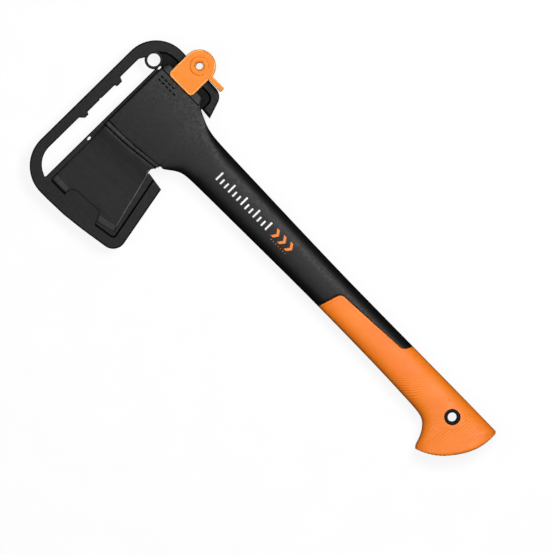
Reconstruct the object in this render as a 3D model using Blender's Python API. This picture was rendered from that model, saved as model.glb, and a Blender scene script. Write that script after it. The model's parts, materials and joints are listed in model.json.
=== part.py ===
"""Short chopping axe in its locking blade sheath, lying flat on its side.

Plan coordinates: x runs from the top of the head to the butt, y from the cutting edge (negative)
to the poll (positive), and z is the thickness, with the mid-plane of the axe at z = 0. One empty
carries every part and puts the origin at the bottom centre of the whole object.
"""

import math

import bmesh
import bpy
from mathutils import Vector

# Driving dimensions, in metres.
GAP = 0.0003
THROUGH = 0.0300

# Sheath, outer size in plan.
SHEATH_TOP = -0.0286
SHEATH_EDGE_SIDE = -0.1231
RIM_HALF = 0.0065
RIM_CHAMFER = 0.0014
WEB_HALF = 0.0030
PAD_HALF = 0.0072
RAIL_X = -0.0018
RING_CENTRE = (-0.0085, 0.0319)
RING_RADIUS = 0.0083
RING_HALF = 0.0060
RING_BORE = 0.0058
RAIL_HOLES = [("rail_hole", (0.0012, -0.0585), 0.62), ("rail_gap", (0.0000, 0.0305), 0.50)]
RAIL_HOLE_RADIUS = 0.0020

# Lock.
PIVOT = (0.0241, 0.0570)
HUB_RADIUS = 0.0102
HUB_HALF = 0.0143
LOCK_RADIUS = 0.01465
LOCK_END_Y = 0.0320
LOCK_CORNER = 0.0042
PLATE_INNER = 0.0146
PLATE_OUTER = 0.0169
LOCK_BOSS_RADIUS = 0.0085
LOCK_HALF = 0.0175
LOCK_CHAMFER = 0.0008
LEVER_X = (0.0114, 0.0295)
LEVER_Y = (-0.0027, 0.0019)
LEVER_CORNER = 0.0010
SLEEVE_RADIUS = 0.0042
SLEEVE_BORE = 0.0032
SLEEVE_HALF = 0.0167

# Steel head.
BLADE_TOP_X = 0.0029
POLL_X = (0.0027, 0.0500)
POLL_Y = (0.0318, 0.0388)
POLL_HALF = 0.0130
POLL_CHAMFER = 0.0040
POLL_FACE_HALF = 0.0118
NECK_X = (0.0080, 0.0480)
NECK_HALF = 0.0050
HEAD_SQUARENESS = 9.0
BLADE_CLEARANCE = 0.0004

# Handle.
MOULDING_TOP_X = 0.0012
MOULDING_EDGE = 0.0010
BUTT_X = 0.4435
GRIP_WALL = 0.0033
SHAFT_WALL = 0.0032
HOLLOW_START_X = 0.0860
CORE_START_X = 0.2440
CORE_STRAIGHT_X = 0.3700
CORE_END_X = 0.3920
CORE_STEP = 0.0148
PLUG_END_X = 0.4310
PLUG_CHAMFER = 0.0020
SPIGOT_START_X = 0.3720
HANG_HOLE = (0.4055, -0.0016)
HANG_BOSS_RADIUS = 0.0072
HANG_BOSS_HALF = 0.0137
HANG_BORE = 0.0041

# Handle side lines as (x, y) points joined by a smooth curve: the cutting-edge side, which starts
# along the joint with the blade, and the poll side.
EDGE_SIDE = [
    (0.0000, -0.0393), (0.0179, -0.0388), (0.0357, -0.0375), (0.0491, -0.0357), (0.0616, -0.0335),
    (0.0665, -0.0310), (0.0700, -0.0283), (0.0750, -0.0246), (0.0800, -0.0219), (0.0860, -0.0205),
    (0.1000, -0.0198), (0.1400, -0.0191), (0.2400, -0.0177), (0.3200, -0.0181), (0.3600, -0.0192),
    (0.3800, -0.0203), (0.3880, -0.0226), (0.3940, -0.0284), (0.3980, -0.0358), (0.4000, -0.0418),
    (0.4025, -0.0449),
]
POLL_SIDE = [
    (0.0000, 0.0315), (0.0510, 0.0315), (0.0550, 0.0297), (0.0600, 0.0274), (0.0660, 0.0249),
    (0.0720, 0.0232), (0.0800, 0.0220), (0.1000, 0.0211), (0.1400, 0.0201), (0.2000, 0.0187),
    (0.2600, 0.0178), (0.4415, 0.0173), (0.4433, 0.0157),
]
# Half thickness and squareness (the power of the superellipse section) along x.
HALF_THICKNESS = [
    (0.0000, 0.0142), (0.0520, 0.0142), (0.0660, 0.0138), (0.0800, 0.0128), (0.1000, 0.0121),
    (0.2000, 0.0116), (0.2600, 0.0122), (0.3200, 0.0129), (0.3700, 0.0130), (0.4000, 0.0138),
    (0.4433, 0.0140),
]
SQUARENESS = [(0.0000, 8.0), (0.0560, 8.0), (0.0800, 3.4), (0.1000, 2.6), (0.3800, 2.5), (0.4433, 3.0)]
BUTT_BULGE = 0.0121
BUTT_BULGE_POWER = 2.4

# The flared knob: x on the cutting-edge side and on the poll side of each fanned section, and their
# squareness, then how far each section of the domed butt has swung out.
KNOB_FAN = [(0.3900, 0.3930), (0.3940, 0.4010), (0.3980, 0.4110), (0.4000, 0.4240)]
KNOB_SQUARENESS = 2.8
BUTT_REACH = [0.00, 0.35, 0.65, 0.85, 0.96, 1.00]
BUTT_DOME_POWER = 2.6
BUTT_SQUARENESS = 3.0

# Line where the grip meets the bare shaft, from the cutting-edge side to the poll side, as
# (x, y, corner radius).
PARTING = [
    (0.2505, -0.0600, 0.0), (0.2513, -0.0179, 0.0), (0.2570, 0.0035, 0.0045), (0.2768, 0.0051, 0.0),
    (0.3318, 0.0092, 0.0045), (0.3361, 0.0174, 0.0), (0.3400, 0.0400, 0.0),
]

# Cutting edge, heel line and cheek of the blade. A station is the share of the way from the
# cutting edge to the handle, the x of the heel side there, and the half thickness.
CUTTING_EDGE = [(0.0025, -0.1080), (0.0270, -0.1091), (0.0620, -0.1055), (0.0768, -0.1018)]
BLADE_STATIONS = [
    (0.000, 0.0768, 0.00015), (0.100, 0.0747, 0.0017), (0.300, 0.0707, 0.0036), (0.500, 0.0667, 0.0055),
    (0.700, 0.0626, 0.0076), (0.836, 0.0598, 0.0091), (0.887, 0.0589, 0.0096), (0.927, 0.0587, 0.0099),
    (0.953, 0.0598, 0.0101), (0.980, 0.0618, 0.0103), (1.000, 0.0623, 0.0104),
]

# Sheath outlines as (x, y, corner radius).
SHEATH_OUTLINE = [
    (SHEATH_TOP, SHEATH_EDGE_SIDE, 0.0335), (0.0340, SHEATH_EDGE_SIDE, 0.2500), (0.0919, -0.1137, 0.0120),
    (0.0777, -0.0400, 0.0), (0.0580, -0.0400, 0.0), (0.0580, 0.0280, 0.0), (0.0648, 0.0280, 0.0),
    (0.0562, 0.0533, 0.0110), (0.0050, 0.0552, 0.0), (SHEATH_TOP, 0.0556, 0.0320),
]
OPENING_OUTLINE = [
    (-0.0187, 0.0230, 0.0040), (-0.0187, 0.0000, 0.0), (-0.0147, -0.0018, 0.0), (-0.0147, -0.0080, 0.0),
    (-0.0170, -0.0090, 0.0), (-0.0170, -0.0429, 0.0), (-0.0147, -0.0437, 0.0), (-0.0147, -0.0482, 0.0),
    (-0.0187, -0.0518, 0.0), (-0.0187, -0.1030, 0.0220), (-0.0027, -0.1107, 0.0), (RAIL_X, -0.1095, 0.0),
    (RAIL_X, 0.0320, 0.0), (-0.0120, 0.0340, 0.0),
]
BAY_OUTLINE = [
    (0.0050, 0.0250, 0.0), (0.0050, -0.0900, 0.0), (0.0575, -0.0950, 0.0), (0.0589, -0.1080, 0.0),
    (0.0795, -0.1045, 0.0), (0.0662, -0.0390, 0.0), (0.0531, 0.0200, 0.0), (0.0531, 0.0446, 0.0085),
    (0.0080, 0.0457, 0.0200), (-0.0125, 0.0390, 0.0), (-0.0070, 0.0370, 0.0), (0.0020, 0.0330, 0.0),
]
PAD_OUTLINE = [
    (0.0210, -0.1116, 0.0010), (0.0210, -0.0995, 0.0060), (0.0540, -0.0972, 0.0015),
    (0.0600, -0.1090, 0.0), (0.0590, -0.1116, 0.0010),
]
SEAT_OUTLINE = [
    (0.0009, 0.0319, 0.0), (0.0009, -0.0397, 0.0), (0.0026, -0.0397, 0.0), (0.0026, -0.1073, 0.0),
    (0.0207, -0.1073, 0.0), (0.0210, -0.0995, 0.0060), (0.0540, -0.0972, 0.0015), (0.0586, -0.1062, 0.0),
    (0.0620, -0.1060, 0.0), (0.0776, -0.1023, 0.0), (0.0604, -0.0448, 0.0), (0.0596, -0.0421, 0.0),
    (0.0900, -0.0468, 0.0), (0.0900, 0.0312, 0.0), (0.0530, 0.0312, 0.0), (0.0506, 0.0322, 0.0),
    (0.0504, 0.0350, 0.0), (0.0462, 0.0392, 0.0), (0.0065, 0.0392, 0.0), (0.0023, 0.0350, 0.0),
    (0.0023, 0.0319, 0.0),
]

SECTION_STEPS = 12
ARC_STEP = math.radians(12)
CIRCLE_SIDES = 40

COLOURS = {
    "axe_head": ((0.030, 0.030, 0.031), 0.45, 0.55),
    "handle_shaft": ((0.024, 0.024, 0.023), 0.50, 0.0),
    "handle_end_plug": ((0.012, 0.012, 0.012), 0.55, 0.0),
    "grip": ((0.90, 0.23, 0.018), 0.55, 0.0),
    "sheath_frame": ((0.028, 0.028, 0.028), 0.50, 0.0),
    "sheath_lock": ((0.92, 0.29, 0.035), 0.40, 0.0),
    "lock_pivot_sleeve": ((0.80, 0.24, 0.03), 0.40, 0.0),
}


def clear_scene():
    for obj in list(bpy.data.objects):
        bpy.data.objects.remove(obj, do_unlink=True)


def new_collection(name):
    collection = bpy.data.collections.new(name)
    bpy.context.scene.collection.children.link(collection)
    return collection


def principled(name):
    colour, roughness, metallic = COLOURS[name]
    material = bpy.data.materials.new(name)
    material.use_nodes = True
    shader = material.node_tree.nodes["Principled BSDF"]
    shader.inputs["Base Color"].default_value = (*colour, 1.0)
    shader.inputs["Roughness"].default_value = roughness
    shader.inputs["Metallic"].default_value = metallic
    return material


def curve_through(points, x):
    """The y at x on a smooth curve through the points (Hermite, slopes from the neighbours)."""
    last = len(points) - 1
    i = min(max(sum(1 for p in points if p[0] <= x) - 1, 0), last - 1)

    def slope(k):
        before, after = points[max(k - 1, 0)], points[min(k + 1, last)]
        return (after[1] - before[1]) / (after[0] - before[0])

    (x0, y0), (x1, y1) = points[i], points[i + 1]
    span = x1 - x0
    t = min(max((x - x0) / span, 0.0), 1.0)
    rise = (3 - 2 * t) * t * t
    start, end = t * (1 - t) ** 2, t * t * (1 - t)
    return y0 + (y1 - y0) * rise + span * (slope(i) * start - slope(i + 1) * end)


def straight_through(points, x):
    """The value at x on straight runs through the points."""
    for (x0, y0), (x1, y1) in zip(points, points[1:]):
        if x <= x1:
            return y0 + (y1 - y0) * min(max((x - x0) / (x1 - x0), 0.0), 1.0)
    return points[-1][1]


def rounded(corners):
    """Outline through (x, y, radius) corners, each replaced by its arc."""
    outline = []
    for i, (x, y, radius) in enumerate(corners):
        corner = Vector((x, y))
        if radius == 0.0:
            outline.append(corner)
            continue
        before = (Vector(corners[i - 1][:2]) - corner).normalized()
        after = (Vector(corners[(i + 1) % len(corners)][:2]) - corner).normalized()
        half_angle = before.angle(after) / 2
        centre = corner + (before + after).normalized() * radius / math.sin(half_angle)
        first = corner + before * radius / math.tan(half_angle) - centre
        turn = after.angle_signed(before) - math.copysign(math.pi, after.angle_signed(before))
        count = max(2, math.ceil(abs(turn) / ARC_STEP))
        for k in range(count + 1):
            angle = turn * k / count
            cos, sin = math.cos(angle), math.sin(angle)
            outline.append(centre + Vector((first.x * cos - first.y * sin, first.x * sin + first.y * cos)))
    return outline


def section(low, high, half, power, bulge=0.0):
    """Closed superellipse section between two plan points, over the top and back underneath."""
    low, high = Vector(low), Vector(high)
    across = high - low
    outward = Vector((across.y, -across.x)).normalized()
    top = []
    for step in range(SECTION_STEPS + 1):
        angle = math.pi * step / SECTION_STEPS
        cos = math.cos(angle)
        share = 0.5 - 0.5 * math.copysign(abs(cos) ** (2 / power), cos)
        height = half * math.sin(angle) ** (2 / power) if 0 < step < SECTION_STEPS else 0.0
        rise = bulge * (1 - abs(2 * share - 1) ** BUTT_BULGE_POWER)
        spot = low + across * share + outward * rise
        top.append((spot.x, spot.y, height))
    return top + [(x, y, -z) for x, y, z in reversed(top[1:-1])]


def mesh_object(name, bm, collection):
    bmesh.ops.recalc_face_normals(bm, faces=bm.faces)
    mesh = bpy.data.meshes.new(name)
    bm.to_mesh(mesh)
    bm.free()
    obj = bpy.data.objects.new(name, mesh)
    collection.objects.link(obj)
    return obj


def loft(name, rings, collection):
    """Skin over rings of matching points, each end closed from its upper to its lower side."""
    bm = bmesh.new()
    loops = [[bm.verts.new(point) for point in ring] for ring in rings]
    count = len(loops[0])
    for first, second in zip(loops, loops[1:]):
        for i in range(count):
            j = (i + 1) % count
            bm.faces.new((first[i], first[j], second[j], second[i]))
    for loop in (loops[0], loops[-1]):
        for i in range(count // 2):
            corners = [loop[i], loop[i + 1], loop[-i - 1], loop[-i]]
            unique = list(dict.fromkeys(corners))
            bm.faces.new(unique)
    return mesh_object(name, bm, collection)


def slab(name, corners, half, collection, chamfer=0.0, inset=0.0):
    """Flat outline as a filled 2D curve, extruded both ways, then made a mesh."""
    curve = bpy.data.curves.new(name + "_outline", "CURVE")
    curve.dimensions = "2D"
    curve.fill_mode = "BOTH"
    curve.extrude = half - chamfer
    curve.bevel_depth = chamfer
    curve.bevel_resolution = 0
    curve.offset = -chamfer - inset
    points = rounded(corners)
    spline = curve.splines.new("POLY")
    spline.points.add(len(points) - 1)
    for target, point in zip(spline.points, points):
        target.co = (point.x, point.y, 0.0, 1.0)
    spline.use_cyclic_u = True
    source = bpy.data.objects.new(name + "_outline", curve)
    collection.objects.link(source)
    bpy.context.view_layer.update()
    evaluated = source.evaluated_get(bpy.context.evaluated_depsgraph_get())
    mesh = bpy.data.meshes.new_from_object(evaluated)
    bpy.data.objects.remove(source, do_unlink=True)
    bm = bmesh.new()
    bm.from_mesh(mesh)
    bpy.data.meshes.remove(mesh)
    bmesh.ops.remove_doubles(bm, verts=bm.verts, dist=1e-6)
    return mesh_object(name, bm, collection)


def disc(name, centre, radius, half, collection):
    bm = bmesh.new()
    bmesh.ops.create_cone(
        bm, cap_ends=True, segments=CIRCLE_SIDES, radius1=radius, radius2=radius, depth=2 * half
    )
    bmesh.ops.translate(bm, verts=bm.verts, vec=(*centre, 0.0))
    return mesh_object(name, bm, collection)


def combine(obj, operation, other):
    modifier = obj.modifiers.new(f"{operation.lower()} {other.name}", "BOOLEAN")
    modifier.operation = operation
    modifier.solver = "EXACT"
    modifier.object = other
    other.hide_render = True
    other.display_type = "WIRE"


def handle_sections(x_values, inset=0.0, straight_from=BUTT_X):
    """Sections of the handle square to x, drawn in by inset and alike beyond straight_from."""
    rings = []
    for x in x_values:
        shape_x = min(x, straight_from)
        low = (x, curve_through(EDGE_SIDE, shape_x) + inset)
        high = (x, curve_through(POLL_SIDE, shape_x) - inset)
        half = straight_through(HALF_THICKNESS, shape_x) - inset
        rings.append(section(low, high, half, straight_through(SQUARENESS, shape_x)))
    return rings


def core_sections(x_values, inset=GRIP_WALL):
    """Sections of the core inside the grip, which runs on straight under the flared knob."""
    return handle_sections(x_values, inset, CORE_STRAIGHT_X)


def knob_sections():
    """Sections that fan out over the flared knob, then dome over the butt."""
    rings = []
    for low_x, high_x in KNOB_FAN:
        low = (low_x, curve_through(EDGE_SIDE, low_x))
        high = (high_x, curve_through(POLL_SIDE, high_x))
        rings.append(section(low, high, straight_through(HALF_THICKNESS, high_x), KNOB_SQUARENESS))
    tip, corner = EDGE_SIDE[-1], POLL_SIDE[-1]
    half = HALF_THICKNESS[-1][1]
    for reach in BUTT_REACH:
        shrink = max(1 - reach**BUTT_DOME_POWER, 0.02) ** (1 / BUTT_DOME_POWER)
        rings.append(section(tip, corner, half * shrink, BUTT_SQUARENESS, BUTT_BULGE * reach))
    return rings


def spread(first, last, step):
    count = max(1, round((last - first) / step))
    return [first + (last - first) * k / count for k in range(count + 1)]


def handle_envelope(name, collection):
    """Outer shape of the whole handle, from the head's top to the butt."""
    head = handle_sections(spread(MOULDING_TOP_X + MOULDING_EDGE, 0.0490, 0.0120))
    neck = handle_sections(spread(0.0520, 0.0880, 0.0040))
    shaft = handle_sections(spread(0.0960, 0.3850, 0.0160))
    first = handle_sections([MOULDING_TOP_X], MOULDING_EDGE)
    return loft(name, first + head + neck + shaft + knob_sections(), collection)


def blade_sections(grow=0.0, last_station=1.0):
    """Blade from the cutting edge to the handle, each ring at one share of the way."""
    rings = []
    for share, heel_x, half in BLADE_STATIONS:
        if share > last_station:
            break
        low, high = (BLADE_TOP_X - grow, 0.0), (heel_x + grow, 0.0)
        flat = section(low, high, half + grow, HEAD_SQUARENESS)
        rings.append([(x, blade_y(x, share, grow), z) for x, _, z in flat])
    return rings


def blade_y(x, share, grow=0.0):
    edge = curve_through(CUTTING_EDGE, x) - grow * (1 - share)
    joint = curve_through(EDGE_SIDE, x) - GAP
    return edge + (joint - edge) * share


def neck_section(x_range, y, half):
    flat = section((x_range[0], 0.0), (x_range[1], 0.0), half, HEAD_SQUARENESS)
    return [(x, y if y is not None else blade_y(x, 1.0), z) for x, _, z in flat]


def build_axe_head(parts):
    narrow = (POLL_X[0] + POLL_CHAMFER, POLL_X[1] - POLL_CHAMFER)
    rings = blade_sections()
    rings.append(neck_section(NECK_X, None, NECK_HALF))
    rings.append(neck_section(NECK_X, 0.0, NECK_HALF))
    rings.append(neck_section(NECK_X, POLL_Y[0], NECK_HALF))
    rings.append(neck_section(POLL_X, POLL_Y[0], POLL_HALF))
    rings.append(neck_section(POLL_X, POLL_Y[1] - POLL_CHAMFER, POLL_HALF))
    rings.append(neck_section(narrow, POLL_Y[1], POLL_FACE_HALF))
    return loft("axe_head", rings, parts)


def shifted(corners, dx, dy):
    return [(x + dx, y + dy, radius) for x, y, radius in corners]


def build_handle_shaft(parts, cutters):
    shaft = handle_envelope("handle_shaft", parts)
    bare_side = [(-0.0200, -0.0600, 0.0), *shifted(PARTING, -GAP, GAP), (-0.0200, 0.0400, 0.0)]
    combine(shaft, "INTERSECT", slab("bare_shaft_region", bare_side, THROUGH, cutters))
    core_x = spread(CORE_START_X, CORE_END_X, CORE_STEP)
    combine(shaft, "UNION", loft("shaft_core", core_sections(core_x), cutters))
    wide = handle_sections(spread(HOLLOW_START_X, 0.2300, 0.0240), SHAFT_WALL)
    narrow = core_sections(spread(0.2500, CORE_END_X + 0.0100, 0.0190), GRIP_WALL + SHAFT_WALL)
    combine(shaft, "DIFFERENCE", loft("shaft_hollow", wide + narrow, cutters))
    neck_x = (NECK_X[0] - GAP, NECK_X[1] + GAP)
    neck = [neck_section(neck_x, y, NECK_HALF + GAP) for y in (-0.0450, 0.0400)]
    combine(shaft, "DIFFERENCE", loft("neck_passage", neck, cutters))
    return shaft


def build_end_plug(parts, cutters):
    shoulder_x = CORE_END_X + GAP
    spigot_inset = GRIP_WALL + SHAFT_WALL + GAP
    rings = core_sections([SPIGOT_START_X, shoulder_x], spigot_inset)
    rings += core_sections([shoulder_x, PLUG_END_X - PLUG_CHAMFER])
    rings += core_sections([PLUG_END_X], GRIP_WALL + PLUG_CHAMFER)
    plug = loft("handle_end_plug", rings, parts)
    combine(plug, "UNION", disc("hang_boss", HANG_HOLE, HANG_BOSS_RADIUS, HANG_BOSS_HALF, cutters))
    combine(plug, "DIFFERENCE", disc("hang_bore", HANG_HOLE, HANG_BORE, THROUGH, cutters))
    return plug


def build_grip(parts, cutters):
    grip = handle_envelope("grip", parts)
    grip_side = [*PARTING, (0.4700, 0.0400, 0.0), (0.4700, -0.0600, 0.0)]
    combine(grip, "INTERSECT", slab("grip_region", grip_side, THROUGH, cutters))
    core_x = spread(CORE_START_X, CORE_END_X, CORE_STEP) + [PLUG_END_X + GAP]
    room = core_sections(core_x, GRIP_WALL - GAP)
    combine(grip, "DIFFERENCE", loft("core_room", room, cutters))
    combine(grip, "DIFFERENCE", disc("boss_room", HANG_HOLE, HANG_BOSS_RADIUS + GAP, THROUGH, cutters))
    return grip


def build_sheath_frame(parts, cutters):
    frame = slab("sheath_frame", SHEATH_OUTLINE, RIM_HALF, parts, RIM_CHAMFER)
    combine(frame, "DIFFERENCE", slab("rim_bay", BAY_OUTLINE, THROUGH, cutters))
    combine(frame, "UNION", slab("web", SHEATH_OUTLINE, WEB_HALF, cutters, inset=0.0010))
    combine(frame, "UNION", slab("edge_pads", PAD_OUTLINE, PAD_HALF, cutters))
    combine(frame, "DIFFERENCE", slab("carry_opening", OPENING_OUTLINE, THROUGH, cutters))
    combine(frame, "UNION", disc("small_ring", RING_CENTRE, RING_RADIUS, RING_HALF, cutters))
    combine(frame, "UNION", disc("lock_hub", PIVOT, HUB_RADIUS, HUB_HALF, cutters))
    combine(frame, "DIFFERENCE", slab("head_seat", SEAT_OUTLINE, THROUGH, cutters))
    blade_slot = loft("blade_slot", blade_sections(BLADE_CLEARANCE, 0.5), cutters)
    combine(frame, "DIFFERENCE", blade_slot)
    combine(frame, "DIFFERENCE", disc("ring_bore", RING_CENTRE, RING_BORE, THROUGH, cutters))
    combine(frame, "DIFFERENCE", disc("hub_bore", PIVOT, SLEEVE_RADIUS + GAP, THROUGH, cutters))
    for name, centre, squash in RAIL_HOLES:
        hole = disc(name, centre, RAIL_HOLE_RADIUS, THROUGH, cutters)
        for vertex in hole.data.vertices:
            vertex.co.x = centre[0] + (vertex.co.x - centre[0]) * squash
        combine(frame, "DIFFERENCE", hole)
    return frame


def build_sheath_lock(parts, cutters):
    """Lock drawn from its pivot: two cheek plates joined only by the lever, past the hub."""
    side, end = LOCK_RADIUS, LOCK_END_Y - PIVOT[1]
    round_end = LOCK_RADIUS * 0.999
    plan = [
        (-side, end, LOCK_CORNER), (side, end, LOCK_CORNER), (side, side, round_end), (-side, side, round_end),
    ]
    lock = slab("sheath_lock", plan, PLATE_OUTER, parts, LOCK_CHAMFER)
    combine(lock, "UNION", disc("lock_boss", (0.0, 0.0), LOCK_BOSS_RADIUS, LOCK_HALF, cutters))
    rib = slab("rib", lever_plan(LOCK_BOSS_RADIUS * 0.7), LOCK_HALF, cutters)
    combine(lock, "UNION", rib)
    room = [(x * 2, y * 2, 0.0) for x, y, _ in plan]
    combine(lock, "DIFFERENCE", slab("between_plates", room, PLATE_INNER, cutters))
    combine(lock, "UNION", slab("lever", lever_plan(LEVER_X[0]), LOCK_HALF, cutters, inset=0.0001))
    combine(lock, "DIFFERENCE", disc("lock_bore", (0.0, 0.0), SLEEVE_RADIUS + GAP, THROUGH, cutters))
    return lock


def lever_plan(start):
    return [
        (start, LEVER_Y[0], 0.0), (LEVER_X[1], LEVER_Y[0], LEVER_CORNER),
        (LEVER_X[1], LEVER_Y[1], LEVER_CORNER), (start, LEVER_Y[1], 0.0),
    ]


def build_pivot_sleeve(parts, cutters):
    sleeve = disc("lock_pivot_sleeve", (0.0, 0.0), SLEEVE_RADIUS, SLEEVE_HALF, parts)
    combine(sleeve, "DIFFERENCE", disc("sleeve_bore", (0.0, 0.0), SLEEVE_BORE, THROUGH, cutters))
    return sleeve


def empty(name, location, parent, collection):
    obj = bpy.data.objects.new(name, None)
    obj.location = location
    obj.parent = parent
    collection.objects.link(obj)
    return obj


def main():
    clear_scene()
    parts = new_collection("sheathed_axe")
    cutters = new_collection("cutters")
    lock_cutters = new_collection("lock_cutters")
    middle_y = (SHEATH_EDGE_SIDE + PIVOT[1] + LOCK_RADIUS) / 2
    origin = empty("axe_origin", (-(SHEATH_TOP + BUTT_X) / 2, -middle_y, LOCK_HALF), None, parts)
    pivot = empty("lock_pivot", (*PIVOT, 0.0), origin, parts)
    fixed = [
        build_axe_head(parts),
        build_handle_shaft(parts, cutters),
        build_end_plug(parts, cutters),
        build_grip(parts, cutters),
        build_sheath_frame(parts, cutters),
    ]
    on_pivot = [build_sheath_lock(parts, lock_cutters), build_pivot_sleeve(parts, lock_cutters)]
    for obj in [*fixed, *cutters.objects]:
        obj.parent = origin
    for obj in [*on_pivot, *lock_cutters.objects]:
        obj.parent = pivot
    for obj in fixed + on_pivot:
        obj.data.materials.append(principled(obj.name))
        obj.data.shade_smooth()
        obj.data.set_sharp_from_angle(angle=math.radians(32))


main()
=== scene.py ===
"""Looks of the sheathed chopping axe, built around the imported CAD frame.

Shapes are drawn in plan coordinates, in metres: x from the top of the head to the butt, y from the
cutting edge (negative) to the poll (positive), z through the thickness, with the mid-plane at 0.
Each piece is then placed in the row frame. The lock's pieces are drawn from their pivot.
"""

import json
import math

import bmesh
import bpy
import numpy as np
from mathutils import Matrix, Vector

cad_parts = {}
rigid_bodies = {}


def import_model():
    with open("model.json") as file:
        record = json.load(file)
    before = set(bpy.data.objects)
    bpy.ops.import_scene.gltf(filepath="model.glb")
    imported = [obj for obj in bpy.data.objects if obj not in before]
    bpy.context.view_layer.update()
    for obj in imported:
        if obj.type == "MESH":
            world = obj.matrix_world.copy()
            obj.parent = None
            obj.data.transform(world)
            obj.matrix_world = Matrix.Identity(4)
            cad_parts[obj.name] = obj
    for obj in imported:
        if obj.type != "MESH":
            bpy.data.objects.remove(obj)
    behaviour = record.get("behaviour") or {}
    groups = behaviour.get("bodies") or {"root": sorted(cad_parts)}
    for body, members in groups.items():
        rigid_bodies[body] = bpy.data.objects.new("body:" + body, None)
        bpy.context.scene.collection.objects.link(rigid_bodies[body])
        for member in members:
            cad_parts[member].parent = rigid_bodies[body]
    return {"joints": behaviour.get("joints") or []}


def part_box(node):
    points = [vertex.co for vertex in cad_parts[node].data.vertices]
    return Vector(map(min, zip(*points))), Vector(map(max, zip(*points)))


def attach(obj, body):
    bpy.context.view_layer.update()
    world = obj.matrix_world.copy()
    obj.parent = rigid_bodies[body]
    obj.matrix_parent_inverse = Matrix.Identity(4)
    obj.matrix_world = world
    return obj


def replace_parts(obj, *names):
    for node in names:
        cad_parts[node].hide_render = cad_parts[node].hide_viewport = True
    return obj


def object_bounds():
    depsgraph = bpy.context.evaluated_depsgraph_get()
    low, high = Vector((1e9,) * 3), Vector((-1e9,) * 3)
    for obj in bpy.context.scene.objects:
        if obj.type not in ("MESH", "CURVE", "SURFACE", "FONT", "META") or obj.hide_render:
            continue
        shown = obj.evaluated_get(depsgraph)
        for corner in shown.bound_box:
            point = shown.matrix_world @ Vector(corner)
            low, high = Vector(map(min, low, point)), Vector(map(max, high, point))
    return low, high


for startup_object in list(bpy.data.objects):
    bpy.data.objects.remove(startup_object)

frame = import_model()
CAD_BOX = [list(corner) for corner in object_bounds()]

ROOT_BODY = "axe_in_sheath"
LOCK_BODY = "lock"

# Sheath in plan.
SHEATH_TOP = -0.0286
SHEATH_EDGE_SIDE = -0.1231
RIM_HALF = 0.0065
WEB_HALF = 0.0030
RAIL_X = -0.0018
RING_CENTRE = (-0.0085, 0.0319)
RING_RADIUS = 0.0083
RING_BORE = 0.0058
RING_HALF = RIM_HALF - 0.0005
RAIL_HOLES = [("rail_dot", (0.0009, -0.0585), 0.0012), ("rail_gap", (0.0001, 0.0305), 0.0010)]
RAIL_HOLE_HALF_LENGTH = 0.0020
BAY_WALL = (-0.0005, 0.0016)
SEAT_LAP = 0.0005
THROUGH = 0.0300

# Where plan coordinates and the lock's pivot lie in the row frame.
SHEATH_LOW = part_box("sheath_frame")[0]
MIDDLE_Z = (CAD_BOX[0][2] + CAD_BOX[1][2]) / 2
TO_ROW = Vector((SHEATH_LOW.x - SHEATH_TOP, SHEATH_LOW.y - SHEATH_EDGE_SIDE, MIDDLE_Z))
PIVOT_ROW = Vector(frame["joints"][0]["pos_m"])
PIVOT = ((PIVOT_ROW - TO_ROW).x, (PIVOT_ROW - TO_ROW).y)

# Lock, from its pivot.
HUB_RADIUS = 0.0102
HUB_HALF = 0.0143
LOCK_RADIUS = 0.01464
LOCK_END_Y = -0.0250
LOCK_CORNER = 0.0042
PLATE_INNER = 0.0146
PLATE_OUTER = 0.0166
LOCK_HALF = 0.0175
LOCK_BOSS_RADIUS = 0.0085
BOSS_GROOVE_WIDTH = 0.0009
BOSS_GROOVE_DEPTH = 0.0005
# Depth and end of the lock's rounded border, which is painted as a highlight.
HIGHLIGHT_BORDER_DEPTH = 0.0006
HIGHLIGHT_BORDER_END_Y = 0.0114
LEVER_X = (0.0114, 0.0295)
LEVER_Y = (-0.0027, 0.0019)
LEVER_INSET = 0.0001
SLEEVE_RADIUS = 0.0042
SLEEVE_BORE = 0.0032
SLEEVE_HALF = 0.0167
GAP = 0.0003
TOUCH = 0.00002

# Head.
BLADE_TOP_X = 0.0029
POLL_X = (0.0020, 0.0500)
POLL_FACE_X = (0.0029, 0.0466)
POLL_NECK_X = (0.0028, 0.0492)
POLL_NECK_HALF = 0.0100
POLL_Y = (0.0318, 0.0390)
POLL_HALF = 0.0122
POLL_EDGE = 0.0012
POLL_SQUARENESS = 14.0
NECK_X = (0.0080, 0.0480)
NECK_HALF = 0.0050
SHOULDER_HALF = 0.0060
BLADE_SQUARENESS = 20.0
NECK_SQUARENESS = 9.0
GROUND_SHARE = 0.100
GROUND_RINGS = 4
HEEL_LAP = 0.0003
HEAD_SIDES = 48
BLADE_BORDER = [(0.0, 0.0012), (0.0002, 0.0006), (0.0006, 0.0002), (0.0013, 0.00008), (0.0024, 0.0)]
BLADE_SEAM_DROP = [(0.0, 0.0), (0.982, 0.0), (0.996, 0.00022), (1.000, 0.0003)]

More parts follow.
